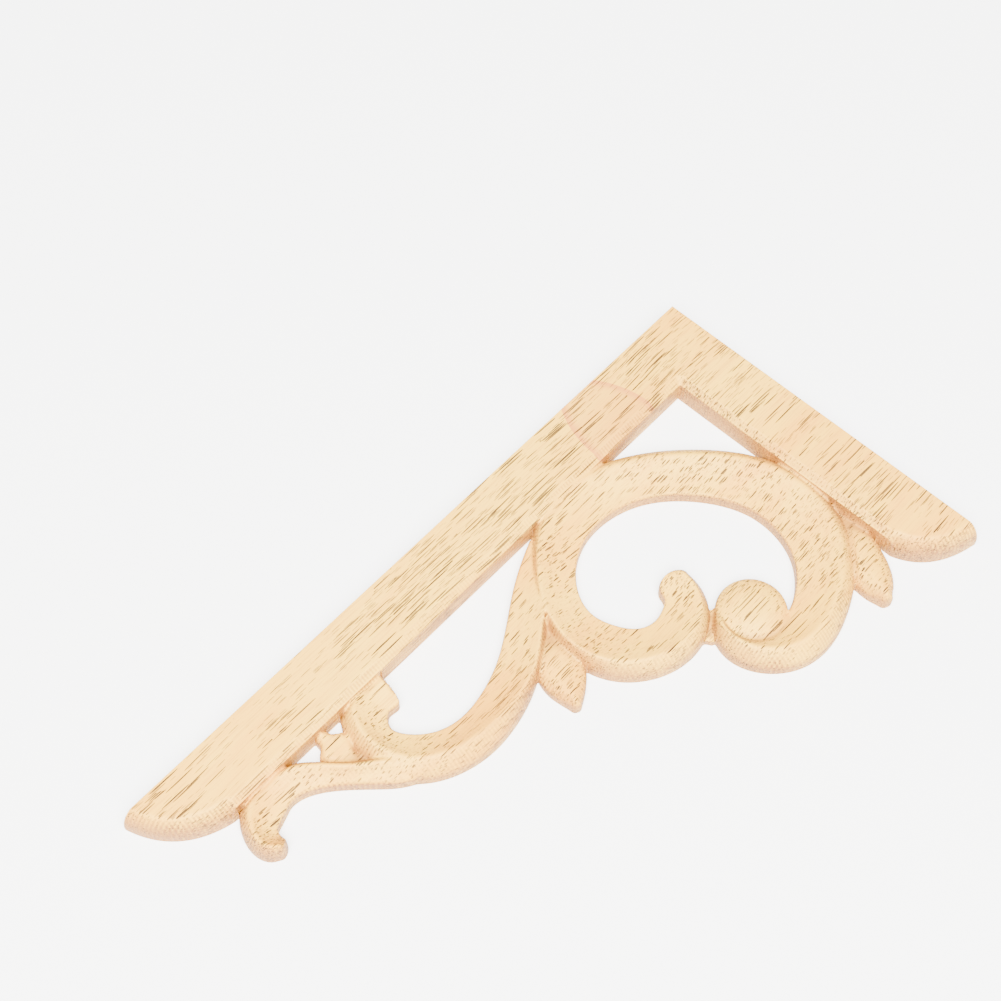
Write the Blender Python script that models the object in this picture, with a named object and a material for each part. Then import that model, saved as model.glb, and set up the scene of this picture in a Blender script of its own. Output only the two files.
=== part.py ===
"""Wooden corner onlay: one carved board with two bars, a ring scroll, an S limb and three leaves.

The board lies on its flat back in the XY plane and its carved face looks up. The long bar runs
along +X and the short bar along +Y. Every limb of the scroll is a band along a smooth centre line.
"""
import math

import bmesh
import bpy
import numpy as np
from mathutils import Vector
from mathutils.geometry import delaunay_2d_cdt

MM = 0.001

# Driving dimensions of the bars, in millimetres
LONG_BAR = 300.0
SHORT_BAR = 154.0
BAR_WIDTH = 26.5
THICKNESS = 12.0
WALL_TOP = 10.0
SHOULDER_WIDTH = 3.0
WALL_DRAFT = 0.4
LONG_END_LENGTH = 28.5
SHORT_END_LENGTH = 21.0
END_ROUNDING = 4.8
END_FOOT = 3.0
END_FULLNESS = 0.78
END_PULL_BACK = 0.21
END_PULL_IN = 0.81

# Heights and shape of a scroll limb, in millimetres
CREST_HEIGHT = 10.5
OUTER_WALL = 2.4
DISH_EDGE = 5.8
INNER_SOFTENING = 0.7
DISH_POWER = 1.5
DISH_REACH = 1.6
INNER_RISE = 1.0
BEVEL_FULLNESS = 0.55
LEAF_FULLNESS = 0.78
BUTTON_FULLNESS = 0.7

# The origin is on the back at the middle of the corner square where the bars meet
ORIGIN = (BAR_WIDTH / 2, BAR_WIDTH / 2)

# Mesh fineness, in millimetres and steps
LIMB_STEP = 4.2
LEAF_STEP = 3.0
CENTRE_STEP = 0.8
CAP_STEPS = 8
END_STEPS = 12
FINE_END_STEPS = 48
BAR_STEP = 15.0
INSIDE = 0.06
FOOT_TOLERANCE = 0.08
FOOT_SLACK = 0.02
FAR = 1000.0
NEAR_EDGE = 0.6
COVER = 0.15
COVERED_DEPTH = 0.3
BEVEL_ROWS = (0.35, 1.0)
DISH_ROWS = (0.3, 0.65)
END_ROWS = (0.15, 0.45, 1.0)
SMALLEST_CAP = 0.1
MIN_GAP = 1.1
SAME_POINT = 0.15

# The colour of bare rubberwood
WOOD_COLOUR = (0.85, 0.66, 0.46, 1.0)
WOOD_ROUGHNESS = 0.62

# Stations of the limbs: x, y, half width and bevel width in millimetres
RING = (
    (84.0, 103.5, 3.0, 1.8), (93.5, 106.0, 5.0, 3.5), (97.2, 113.0, 5.6, 5.0),
    (86.0, 128.3, 8.8, 6.5), (62.5, 127.0, 10.5, 6.0), (41.5, 109.0, 12.5, 6.0),
    (37.0, 82.0, 12.6, 6.0), (50.0, 56.3, 11.0, 6.0), (73.0, 37.2, 10.6, 5.5),
    (98.0, 31.9, 11.1, 5.0), (122.5, 45.4, 8.3, 1.8), (133.9, 68.0, 9.0, 1.8),
    (131.7, 80.9, 10.2, 3.6), (124.2, 90.7, 9.8, 4.5), (112.0, 95.4, 9.6, 4.5),
    (101.5, 93.0, 9.2, 4.0), (95.2, 86.0, 7.6, 3.4), (94.2, 82.0, 7.0, 3.2),
)
RING_SHARE = 0.76
S_LIMB = (
    (104.0, 30.5, 7.0, 1.2), (132.0, 43.0, 7.2, 1.2), (147.0, 53.0, 7.6, 1.2),
    (161.8, 61.9, 8.2, 1.6), (176.0, 66.6, 8.4, 4.0), (190.2, 67.7, 8.4, 6.0),
    (203.3, 63.9, 8.6, 6.5), (213.3, 55.2, 8.6, 6.5), (217.0, 44.0, 7.8, 6.0),
    (213.2, 33.8, 8.8, 5.5), (206.4, 29.3, 9.6, 5.0), (200.8, 29.5, 9.7, 4.0),
)
TAIL = (
    (208.0, 63.0, 4.0, 3.0), (215.6, 59.4, 5.0, 3.0), (223.8, 52.6, 5.1, 3.0), (231.5, 45.5, 4.5, 3.0),
    (238.7, 38.4, 5.1, 3.0), (247.0, 32.2, 6.6, 4.0), (256.5, 29.8, 8.3, 5.0),
    (265.0, 33.4, 7.9, 4.5), (269.5, 39.4, 6.0, 3.5), (269.2, 44.2, 5.0, 2.5), (267.6, 46.8, 3.4, 2.0),
)
LEAF_BY_S_LIMB = (
    (141.0, 56.0, 8.0, 7.0), (147.0, 67.5, 9.0, 7.6), (149.3, 72.5, 9.2, 7.6), (152.5, 79.0, 7.7, 7.0),
    (155.0, 84.2, 4.4, 5.0), (156.4, 86.9, 2.2, 3.0),
)
LEAF_BY_SHORT_BAR = (
    (29.0, 104.0, 4.0, 4.0), (31.5, 113.0, 8.0, 7.0), (35.5, 123.5, 9.0, 7.0), (38.6, 131.0, 8.6, 7.0),
    (41.0, 136.5, 7.3, 6.4), (43.0, 141.0, 5.0, 5.0), (44.2, 143.9, 2.8, 3.4),
)
LEAF_BY_TAIL = (
    (225.4, 46.5, 5.0, 3.0), (227.8, 41.5, 4.6, 3.0), (228.3, 36.0, 7.2, 3.0), (228.4, 32.5, 6.8, 3.0),
    (228.6, 29.6, 3.6, 2.4), (228.7, 27.6, 3.0, 2.0),
)
WEB = ((92.2, 98.6, 1.9, 1.0), (97.6, 102.6, 2.3, 1.0), (103.2, 105.8, 2.0, 1.0))
WEB_HEIGHT = 3.2
BUTTON_CENTRE = (83.4, 110.0)
BUTTON_RADIUS = 13.8
BUTTON_BEVEL = 9.0
BUTTON_CREST = 9.2
BUTTON_RIM = 4.4
BUTTON_DOME = 0.6
BUTTON_SIDES = 22
LEAF_RISE = 0.45

# Rounded ends of the limbs, and the leaves' heights at their middle and root, in millimetres
HOOK_ARM_END = {"cap_length": 5.6, "cap_wall": 4.0}
S_LIMB_END = {"cap_length": 3.4, "cap_wall": 4.6, "cap_power": 3.2}
TAIL_END = {"cap_length": 2.0, "cap_wall": 3.6}
LEAF_BY_S_LIMB_FORM = {"cap_length": 1.4, "crest": 7.2, "root": 4.2}
LEAF_BY_SHORT_BAR_FORM = {"cap_length": 1.8, "crest": 8.2, "root": 4.0}
LEAF_BY_TAIL_FORM = {"cap_length": 2.0, "crest": 6.4, "root": 5.0}

# How deep a limb runs in under another before it ends, in millimetres
RING_BURIAL = 3.0
S_LIMB_BURIAL = 2.2
TAIL_BURIAL = 6.0
LEAF_BURIAL = 2.0
LEAF_BY_SHORT_BAR_BURIAL = 4.0


def spline(stations, step):
    """Return points a step apart on a natural cubic spline through the stations."""
    knots = np.array(stations, dtype=float)
    gaps = np.hypot(*np.diff(knots[:, :2], axis=0).T)
    at = np.concatenate(([0.0], np.cumsum(gaps)))
    count = len(knots)
    matrix = np.eye(count)
    right = np.zeros_like(knots)
    for i in range(1, count - 1):
        matrix[i, i - 1:i + 2] = gaps[i - 1], 2 * (gaps[i - 1] + gaps[i]), gaps[i]
        rise = (knots[i + 1] - knots[i]) / gaps[i] - (knots[i] - knots[i - 1]) / gaps[i - 1]
        right[i] = 6 * rise
    bend = np.linalg.solve(matrix, right)
    places = np.linspace(0.0, at[-1], max(3, round(at[-1] / step) + 1))
    rows = []
    for place in places:
        i = min(int(np.searchsorted(at, place, side="right")) - 1, count - 2)
        a = (at[i + 1] - place) / gaps[i]
        b = 1.0 - a
        curve = ((a ** 3 - a) * bend[i] + (b ** 3 - b) * bend[i + 1]) * gaps[i] ** 2 / 6
        rows.append(a * knots[i] + b * knots[i + 1] + curve)
    return np.array(rows)


class Limb:
    """A carved band: a centre line with widths, a crest on one side and a rounded far end."""

    def __init__(self, stations, step, crest_side, cap_length=0.0, stretch=(0.0, 1.0),
                 crest=CREST_HEIGHT, dish=DISH_EDGE, wall=OUTER_WALL, cap_wall=OUTER_WALL,
                 cap_power=2.0, under=()):
        whole = spline(stations, CENTRE_STEP)
        first, last = (round(share * (len(whole) - 1)) for share in stretch)
        self.centre = whole[first:last + 1]
        along = np.gradient(whole[:, :2], axis=0)[first:last + 1]
        along /= np.hypot(*along.T)[:, None]
        count = max(2, round((last - first) * CENTRE_STEP / step))
        pick = np.linspace(0, last - first, count + 1).round().astype(int)
        self.path = self.centre[pick]
        self.along = along[pick]
        self.left = np.stack((-self.along[:, 1], self.along[:, 0]), axis=1)
        self.under = under
        self.crest_side = crest_side
        self.cap_length = cap_length
        self.cap_power = cap_power
        self.crest = crest
        self.dish = dish
        self.wall = wall
        self.cap_wall = cap_wall

    def row(self, share):
        """Return the points at a share of the half width to the left of the centre line."""
        return self.path[:, :2] + self.left * (share * self.path[:, 2])[:, None]

    def cap(self, share=1.0):
        """Return the points of the rounded far end, from its right edge round to its left edge."""
        if not self.cap_length:
            return np.empty((0, 2))
        x, y, half = self.path[-1, :3]
        points = []
        for i in range(1, CAP_STEPS):
            turn = math.pi * i / CAP_STEPS
            side = math.cos(turn)
            across = -math.copysign(abs(side) ** (2.0 / self.cap_power), side) * half * share
            ahead = math.sin(turn) ** (2.0 / self.cap_power) * self.cap_length * share
            points.append(np.array((x, y)) + self.left[-1] * across + self.along[-1] * ahead)
        return np.array(points)

    def outline(self):
        """Return the closed outline, counterclockwise."""
        return np.concatenate((self.row(-1.0), self.cap(), self.row(1.0)[::-1]))

    def place(self, points):
        """Return each point's depth inside the edges on the crest side, inner side and cap."""
        starts = self.centre[:-1]
        steps = self.centre[1:] - starts
        squares = (steps[:, :2] ** 2).sum(axis=1)
        offset = points[:, None, :] - starts[None, :, :2]
        foot = (offset * steps[None, :, :2]).sum(axis=2) / squares
        share = np.clip(foot, 0.0, 1.0)
        gap = offset - share[:, :, None] * steps[None, :, :2]
        distance = np.sqrt((gap ** 2).sum(axis=2))
        squint = np.abs(foot - share) * np.sqrt(squares)
        beside = squint <= FOOT_TOLERANCE * distance + FOOT_SLACK
        beside[:, 0] |= foot[:, 0] < 0.0
        beside[:, -1] |= foot[:, -1] > 1.0
        depth = starts[None, :, 2] + share * steps[None, :, 2] - distance
        nearest = np.argmax(np.where(beside, depth, -FAR - distance), axis=1)
        pick = np.arange(len(points))
        share = share[pick, nearest]
        gap = gap[pick, nearest]
        row = starts[nearest] + share[:, None] * steps[nearest]
        along = steps[nearest, :2] / np.sqrt(squares[nearest])[:, None]
        ahead = (gap * along).sum(axis=1)
        across = (along[:, 0] * gap[:, 1] - along[:, 1] * gap[:, 0]) * self.crest_side
        half = row[:, 2]
        past_end = (nearest == len(starts) - 1) & (share >= 1.0)
        before_start = (nearest == 0) & (share <= 0.0)
        ahead = np.where(past_end, np.maximum(ahead, 0.0), 0.0)
        power = self.cap_power
        reach = max(self.cap_length, 0.01)
        radius = (np.abs(across / half) ** power + (ahead / reach) ** power) ** (1.0 / power)
        beyond = np.hypot(*gap.T) > np.abs(across) + INSIDE
        cap_depth = np.where(past_end, (1.0 - radius) * half, np.inf)
        if not self.cap_length:
            cap_depth = np.where(past_end & beyond, -1.0, np.inf)
        start_depth = np.where(before_start & beyond, -1.0, np.inf)
        return half - across, half + across, np.minimum(cap_depth, start_depth), row

    def depth(self, points):
        """Return how far inside the outline each point lies."""
        crest_depth, inner_depth, cap_depth, _ = self.place(points)
        return np.minimum(np.minimum(crest_depth, inner_depth), cap_depth)

    def height(self, points):
        """Return the height of the carved surface over each point."""
        crest_depth, inner_depth, cap_depth, row = self.place(points)
        width = 2.0 * row[:, 2]
        bevel = row[:, 3]
        outer = rounding(crest_depth, bevel, self.wall, self.crest)
        fall = np.clip((width - crest_depth) / (width - bevel), 0.0, DISH_REACH) ** DISH_POWER
        dished = self.dish + (self.crest - self.dish) * fall
        soft = rounding(inner_depth, INNER_SOFTENING, self.dish - INNER_SOFTENING, self.dish + INNER_RISE)
        soft = np.where(inner_depth > INNER_SOFTENING, np.inf, soft)
        capped = np.where(np.isfinite(cap_depth), cap_depth, bevel)
        capped = rounding(capped, bevel, self.cap_wall, self.crest)
        capped = np.where(np.isfinite(cap_depth), capped, np.inf)
        return np.minimum(np.minimum(outer, dished), np.minimum(soft, capped))


class Leaf(Limb):
    """A pointed leaf: its surface is domed across and rises from its root to its middle."""

    def __init__(self, stations, cap_length, crest, root, under):
        super().__init__(stations, LEAF_STEP, 1.0, cap_length, crest=crest, under=under)
        self.root = root

    def height(self, points):
        """Return the height of the domed leaf over each point."""
        crest_depth, inner_depth, cap_depth, row = self.place(points)
        depth = np.minimum(np.minimum(crest_depth, inner_depth), cap_depth)
        first = self.path[0, :2]
        length = np.hypot(*(self.path[-1, :2] - first))
        rise = np.clip(np.hypot(*(points - first).T) / (LEAF_RISE * length), 0.0, 1.0)
        top = self.root + (self.crest - self.root) * rise
        return rounding(depth, row[:, 3], self.wall, top, LEAF_FULLNESS)


class Button:
    """The round end of the ring scroll: a low disc with a rounded rim."""

    under = ()
    centre = np.array(BUTTON_CENTRE)

    def outline(self, radius=BUTTON_RADIUS):
        turns = np.linspace(0.0, 2 * math.pi, BUTTON_SIDES, endpoint=False)
        return self.centre + radius * np.stack((np.cos(turns), np.sin(turns)), axis=1)

    def depth(self, points):
        return BUTTON_RADIUS - np.hypot(*(points - self.centre).T)

    def height(self, points):
        depth = self.depth(points)
        dome = BUTTON_CREST - BUTTON_DOME * np.clip(1.0 - depth / BUTTON_RADIUS, 0.0, 1.0) ** 2
        side = rounding(depth, BUTTON_BEVEL, BUTTON_RIM, BUTTON_CREST, BUTTON_FULLNESS)
        return np.minimum(side, dome)


class Bar:
    """A straight square bar with a shoulder on its inner edge and a curved, rounded end."""

    under = ()

    def __init__(self, length, end_length, upright):
        self.length = length
        self.end_length = end_length
        self.upright = upright

    def turned(self, points):
        """Swap x and y for the bar that runs along +Y."""
        return points[:, ::-1] if self.upright else points

    def end_curve(self, steps=END_STEPS):
        """Return the end's curve, from the inner edge to the outer tip."""
        start = np.array((self.length - self.end_length, BAR_WIDTH))
        pull = np.array((self.length - END_PULL_BACK * self.end_length, BAR_WIDTH * END_PULL_IN))
        tip = np.array((self.length, 0.0))
        curve = []
        for i in range(steps + 1):
            t = i / steps
            curve.append((1 - t) ** 2 * start + 2 * t * (1 - t) * pull + t * t * tip)
        return np.array(curve)

    def outline(self):
        """Return the closed outline, counterclockwise."""
        edge = np.arange(0.0, self.length - self.end_length, BAR_STEP)
        inner = np.stack((edge, np.full_like(edge, BAR_WIDTH)), axis=1)
        points = np.concatenate((inner, self.end_curve(), np.zeros((1, 2))))
        return self.turned(points) if self.upright else points[::-1]

    def depths(self, points):
        """Return the depth inside the inner edge, the outer edges and the curved end."""
        local = self.turned(points)
        curve = self.end_curve(FINE_END_STEPS)
        starts = curve[:-1]
        steps = curve[1:] - starts
        offset = local[:, None, :] - starts[None]
        share = np.clip((offset * steps).sum(axis=2) / (steps ** 2).sum(axis=1), 0.0, 1.0)
        gap = offset - share[:, :, None] * steps
        distance = np.sqrt((gap ** 2).sum(axis=2))
        nearest = np.argmin(distance, axis=1)
        pick = np.arange(len(local))
        cross = steps[nearest, 0] * offset[pick, nearest, 1] - steps[nearest, 1] * offset[pick, nearest, 0]
        to_end = -np.sign(cross) * distance[pick, nearest]
        to_inner = BAR_WIDTH - local[:, 1]
        to_outer = np.minimum(local[:, 1], local[:, 0])
        return to_inner, to_outer, to_end

    def depth(self, points):
        to_inner, to_outer, to_end = self.depths(points)
        return np.minimum(np.minimum(to_inner, to_outer), to_end)

    def height(self, points):
        to_inner, _, to_end = self.depths(points)
        slope = (THICKNESS - WALL_TOP) / SHOULDER_WIDTH
        shoulder = WALL_TOP + slope * np.clip(to_inner - WALL_DRAFT, 0.0, SHOULDER_WIDTH)
        end = rounding(to_end, END_ROUNDING, END_FOOT, THICKNESS, END_FULLNESS)
        return np.minimum(shoulder, end)


def rounding(depth, width, low, high, fullness=BEVEL_FULLNESS):
    """Return the height of a rounded bevel, from low at the edge to high a width inside it."""
    share = np.clip(depth / width, 0.0, 1.0)
    arc = np.sqrt(1.0 - (1.0 - share) ** 2)
    return low + (high - low) * (fullness * arc + (1.0 - fullness) * share)


def limbs():
    """Return every carved form of the board."""
    button = Button()
    ring = Limb(RING, LIMB_STEP, -1.0, stretch=(0.0, RING_SHARE), under=((button, RING_BURIAL),))
    hook_arm = Limb(RING, LIMB_STEP, -1.0, stretch=(RING_SHARE, 1.0), **HOOK_ARM_END)
    s_limb = Limb(S_LIMB, LIMB_STEP, 1.0, under=((ring, S_LIMB_BURIAL), (hook_arm, S_LIMB_BURIAL)),
                  **S_LIMB_END)
    joined = tuple((limb, LEAF_BURIAL) for limb in (ring, hook_arm, s_limb))
    return [
        ring,
        hook_arm,
        s_limb,
        Limb(TAIL, LIMB_STEP, -1.0, under=((s_limb, TAIL_BURIAL),), **TAIL_END),
        Leaf(LEAF_BY_S_LIMB, under=joined, **LEAF_BY_S_LIMB_FORM),
        Leaf(LEAF_BY_SHORT_BAR, under=((ring, LEAF_BY_SHORT_BAR_BURIAL),), **LEAF_BY_SHORT_BAR_FORM),
        Leaf(LEAF_BY_TAIL, under=(), **LEAF_BY_TAIL_FORM),
        Limb(WEB, LIMB_STEP, 1.0, crest=WEB_HEIGHT, dish=WEB_HEIGHT, wall=WEB_HEIGHT),
        button,
    ]


def bars():
    """Return the two bars."""
    return [Bar(LONG_BAR, LONG_END_LENGTH, False), Bar(SHORT_BAR, SHORT_END_LENGTH, True)]


def buried(form, points):
    """Tell which points lie where a form runs in under another and has no surface of its own."""
    hidden = np.zeros(len(points), dtype=bool)
    for above, depth in form.under:
        hidden |= above.depth(points) > depth
    return hidden


def surface(points, forms):
    """Return the height of the whole carved face over each point."""
    heights = np.array([form.height(points) for form in forms])
    depths = np.array([np.where(buried(form, points), -FAR, form.depth(points)) for form in forms])
    inside = np.where(depths > INSIDE, heights, -np.inf).max(axis=0)
    limit = np.minimum(-NEAR_EDGE, depths.max(axis=0) - INSIDE)
    edge = np.where(depths > limit, heights, -np.inf).max(axis=0)
    return np.where(np.isfinite(inside), inside, edge)


def limb_rows(limb):
    """Return the lines of points that carry a limb's shape, from its crest side to its inner side."""
    half, bevel = limb.path[:, 2], limb.path[:, 3]
    shares = [1.0 - row * bevel / half for row in BEVEL_ROWS]
    if isinstance(limb, Leaf):
        shares += [np.zeros_like(half)] + [-share for share in reversed(shares)]
    else:
        crest = shares[-1]
        shares += [crest - row * (crest + 1.0) for row in DISH_ROWS] + [-1.0 + INNER_SOFTENING / half]
    rows = [limb.path[:, :2] + limb.left * (limb.crest_side * share * half)[:, None] for share in shares]
    for row in BEVEL_ROWS:
        inset = 1.0 - row * bevel[-1] / half[-1]
        if inset > SMALLEST_CAP:
            rows.append(limb.cap(inset))
    return rows


def bar_rows(bar):
    """Return the lines of points on a bar's shoulder and on its rounded end."""
    rows = []
    for depth in (WALL_DRAFT, WALL_DRAFT + SHOULDER_WIDTH):
        along = np.arange(BAR_WIDTH - depth, bar.length, BAR_STEP)
        rows.append(bar.turned(np.stack((along, np.full_like(along, BAR_WIDTH - depth)), axis=1)))
    curve = bar.end_curve()
    along = np.gradient(curve, axis=0)
    along /= np.hypot(*along.T)[:, None]
    inward = np.stack((along[:, 1], -along[:, 0]), axis=1)
    for share in END_ROWS:
        inset = curve + inward * (share * END_ROUNDING)
        past_tip = inset[-1] + (inset[-1] - inset[-2])
        rows.append(bar.turned(np.concatenate((inset, past_tip[None]))))
    return rows


def button_rows(button):
    """Return the rings of points on the button."""
    return [button.outline(BUTTON_RADIUS - share * BUTTON_BEVEL) for share in BEVEL_ROWS]


def rows_of(form):
    """Return the lines of points that carry a form's shape."""
    if isinstance(form, Bar):
        return bar_rows(form)
    if isinstance(form, Button):
        return button_rows(form)
    return limb_rows(form)


def showing(form, points, forms):
    """Tell which points of a form lie on the surface and not under another form."""
    own = form.height(points)
    shown = ~buried(form, points)
    for other in forms:
        if other is form:
            continue
        covered = (other.depth(points) > COVERED_DEPTH) & (other.height(points) > own + COVER)
        shown &= ~covered | buried(other, points)
    return shown


def plan(forms):
    """Return the vertices and triangles of the board seen from above."""
    verts = []
    faces = []
    edges = []
    taken = {}

    def add(point, gap):
        cell = (math.floor(point[0] / MIN_GAP), math.floor(point[1] / MIN_GAP))
        if gap:
            cells = [(cell[0] + i, cell[1] + j) for i in (-1, 0, 1) for j in (-1, 0, 1)]
            near = [v for place in cells for v in taken.get(place, ())]
            nearest = min(near, key=lambda v: math.hypot(*(verts[v] - point)), default=None)
            if nearest is not None:
                distance = math.hypot(*(verts[nearest] - point))
                if distance < SAME_POINT:
                    return nearest
                if distance < gap:
                    return None
        verts.append(point)
        taken.setdefault(cell, []).append(len(verts) - 1)
        return len(verts) - 1

    for form in forms:
        faces.append([add(point, 0.0) for point in form.outline()])
    for form in forms:
        for row in rows_of(form):
            shown = showing(form, row, forms)
            before = None
            gap = WALL_DRAFT / 2 if isinstance(form, Bar) else MIN_GAP
            for point, keep in zip(row, shown):
                here = add(point, gap) if keep else None
                if here is not None and before is not None:
                    edges.append((before, here))
                before = here
    flat = [Vector(point) for point in verts]
    out_verts, _, out_faces, _, _, from_faces = delaunay_2d_cdt(flat, edges, faces, 0, 0.01)
    kept = [face for face, origin in zip(out_faces, from_faces) if origin]
    return np.array([tuple(v) for v in out_verts]), kept


def board_mesh(name, forms):
    """Return the mesh of the board: carved face, walls and flat back."""
    points, triangles = plan(forms)
    heights = surface(points, forms)
    mesh = bmesh.new()
    used = sorted({index for face in triangles for index in face})
    places = np.column_stack((points - ORIGIN, heights)) * MM
    top = {i: mesh.verts.new(places[i]) for i in used}
    for face in triangles:
        mesh.faces.new([top[i] for i in face])
    rim = [edge for edge in mesh.edges if len(edge.link_faces) == 1]
    base = {v: mesh.verts.new((v.co.x, v.co.y, 0.0)) for v in top.values()}
    for face in list(mesh.faces):
        mesh.faces.new([base[v] for v in reversed(face.verts)])
    for edge in rim:
        loop = edge.link_loops[0]
        a, b = loop.vert, loop.link_loop_next.vert
        mesh.faces.new((b, a, base[a], base[b]))
    bmesh.ops.recalc_face_normals(mesh, faces=mesh.faces)
    data = bpy.data.meshes.new(name)
    mesh.to_mesh(data)
    mesh.free()
    return data


def wood():
    """Return the bare rubberwood material."""
    material = bpy.data.materials.new("rubberwood")
    material.use_nodes = True
    shader = material.node_tree.nodes["Principled BSDF"]
    shader.inputs["Base Color"].default_value = WOOD_COLOUR
    shader.inputs["Roughness"].default_value = WOOD_ROUGHNESS
    shader.inputs["Metallic"].default_value = 0.0
    return material


def main():
    for thing in list(bpy.data.objects):
        bpy.data.objects.remove(thing)
    forms = limbs() + bars()
    onlay = bpy.data.objects.new("corner_onlay", board_mesh("corner_onlay", forms))
    onlay.data.materials.append(wood())
    bpy.context.scene.collection.objects.link(onlay)


main()
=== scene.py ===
"""Finished wooden corner onlay: the carved board with fine relief in bare rubberwood.

The board lies on its flat back and its carved face looks up. The long bar runs along +X and the
short bar along +Y. Sizes are in millimetres until a mesh is made.
"""
import math

import bmesh
import bpy
import numpy as np
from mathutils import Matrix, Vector, kdtree
from mathutils.geometry import delaunay_2d_cdt


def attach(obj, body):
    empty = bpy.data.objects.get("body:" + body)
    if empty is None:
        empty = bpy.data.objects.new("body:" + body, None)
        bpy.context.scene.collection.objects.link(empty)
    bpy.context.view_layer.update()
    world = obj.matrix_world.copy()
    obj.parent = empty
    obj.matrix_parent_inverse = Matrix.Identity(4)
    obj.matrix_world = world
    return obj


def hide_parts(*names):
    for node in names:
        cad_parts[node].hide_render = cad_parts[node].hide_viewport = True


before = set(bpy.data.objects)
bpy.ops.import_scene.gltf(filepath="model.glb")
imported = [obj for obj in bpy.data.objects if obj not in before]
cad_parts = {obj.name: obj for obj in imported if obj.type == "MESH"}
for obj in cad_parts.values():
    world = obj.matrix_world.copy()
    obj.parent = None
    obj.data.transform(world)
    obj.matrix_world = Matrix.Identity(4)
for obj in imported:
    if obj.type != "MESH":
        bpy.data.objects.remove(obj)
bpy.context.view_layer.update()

MM = 0.001

# Driving dimensions of the bars
LONG_BAR = 300.0
SHORT_BAR = 154.0
BAR_WIDTH = 26.5
THICKNESS = 12.0
WALL_TOP = 10.0
SHOULDER_WIDTH = 3.0
WALL_DRAFT = 0.25
LONG_END_LENGTH = 28.5
SHORT_END_LENGTH = 21.0
END_ROUNDING = 4.8
END_FOOT = 3.0
END_FULLNESS = 0.78
END_PULL_BACK = 0.21
END_PULL_IN = 0.81
ORIGIN = (BAR_WIDTH / 2, BAR_WIDTH / 2)

# Heights and shape of a scroll limb
CREST_HEIGHT = 10.5
OUTER_WALL = 2.4
DISH_EDGE = 5.8
INNER_SOFTENING = 1.3
DISH_POWER = 1.5
DISH_REACH = 1.6
INNER_RISE = 0.4
SMALLEST_CAP = 0.01
BEVEL_FULLNESS = 0.55
DIVE_SLOPE = 1.6
FILLET = 0.9
TAIL_FILLET = 2.5
TAIL_BURIAL = 3.0
PARTING_DEPTH = 2.1
PARTING_WIDTH = 2.4
SAME_SURFACE = 0.001
LEAF_FULLNESS = 0.78
BUTTON_FULLNESS = 0.7

# Fineness of the relief
OUTLINE_STEP = 0.5
CENTRE_STEP = 0.8
FEWEST_CAP_STEPS = 8
LATTICE_STEP = 0.5
END_LATTICE_STEP = 0.8
EDGE_ROWS = (0.12, 0.35, 0.75)
ARRIS = 0.3
INSIDE = 0.05
WALL_FOOT = 0.03
WALL_EDGE = 0.05
NOTCH_FILL = 0.6
NOTCH_REACH = 1.5
JOIN_DEPTH = 0.3
LINE_DEPTH = 0.5
LINE_GAP = 0.09
SHOULDER_REACH = 0.8
FAR = 1000.0
FOOT_TOLERANCE = 0.08
FOOT_SLACK = 0.02
SANDED_EDGE = 1.2
SANDED_RAMP = 0.8
SANDING_PASSES = 4
# Reach and full depth of the painted shade in grooves
GROOVE_SHADE_PASSES = 140
GROOVE_SHADE_DEPTH = 1.8
CHUNK = 4000
END_STEPS = 80
END_ROW_STEPS = 60
END_ROW_STOP = 8
BOX_MARGIN = 2.0
SMALLEST_OPENING = 2.0
OUTLINE_MERGE = 0.01
PLAN_MERGE = 0.004
SHORT_EDGE = 0.3
CORNER_REACH = 2.0
NOTCH_TURN = -0.35
NOTCH_PASSES = 10
NOTCH_POINTS = 4
ROW_SLACK = (0.3, 0.05)
ROW_GAP = 0.5
WIDEST_ROW_GAP = 0.4
SCATTER_INSIDE = 0.6
SCATTER_GAP = 0.6
CARVED_BOX = ((BAR_WIDTH - 6.0, BAR_WIDTH - 6.0), (280.0, 150.0))
END_BOX_MARGIN = 8.0
SHARP_ANGLE = 42.0

# Stations of the limbs: x, y, half width and bevel width
RING = (
    (84.0, 103.5, 3.0, 1.8), (93.5, 106.0, 5.0, 3.5), (97.2, 113.0, 5.6, 5.0),
    (86.0, 128.3, 8.8, 6.5), (62.5, 127.0, 10.5, 6.0), (41.5, 109.0, 12.5, 6.0),
    (37.0, 82.0, 12.6, 6.0), (50.0, 56.3, 11.0, 6.0), (73.0, 37.2, 10.6, 5.5),
    (98.0, 31.9, 11.1, 5.0), (122.5, 45.4, 8.3, 1.8), (133.9, 68.0, 9.0, 1.8),
    (131.7, 80.9, 10.2, 3.6), (124.2, 90.7, 9.8, 4.5), (112.0, 95.4, 9.6, 4.5),
    (101.5, 93.0, 9.2, 4.0), (95.2, 86.0, 7.6, 3.4), (94.2, 82.0, 7.0, 3.2),
)
RING_SHARE = 0.76
S_LIMB = (
    (104.0, 30.5, 7.0, 1.2), (132.0, 43.0, 7.2, 1.2), (147.0, 53.0, 7.6, 1.2),
    (161.8, 61.9, 8.2, 1.6), (176.0, 66.6, 8.4, 4.0), (190.2, 67.7, 8.4, 6.0),
    (203.3, 63.9, 8.6, 6.5), (213.3, 55.2, 8.6, 6.5), (217.0, 44.0, 7.8, 6.0),
    (213.2, 33.8, 8.8, 5.5), (206.4, 29.3, 9.6, 5.0), (200.8, 29.5, 9.7, 4.0),
)
TAIL = (
    (208.0, 63.0, 4.0, 3.0), (215.6, 59.4, 5.0, 3.0), (223.8, 52.6, 5.1, 3.0),
    (231.5, 45.5, 4.5, 3.0), (238.7, 38.4, 5.1, 3.0), (247.0, 32.2, 6.6, 4.0),
    (256.5, 29.8, 8.3, 5.0), (265.0, 33.4, 7.9, 4.5), (269.5, 39.4, 6.0, 3.5),
    (269.2, 44.2, 5.0, 2.5), (267.6, 46.8, 3.4, 2.0),
)
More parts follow.
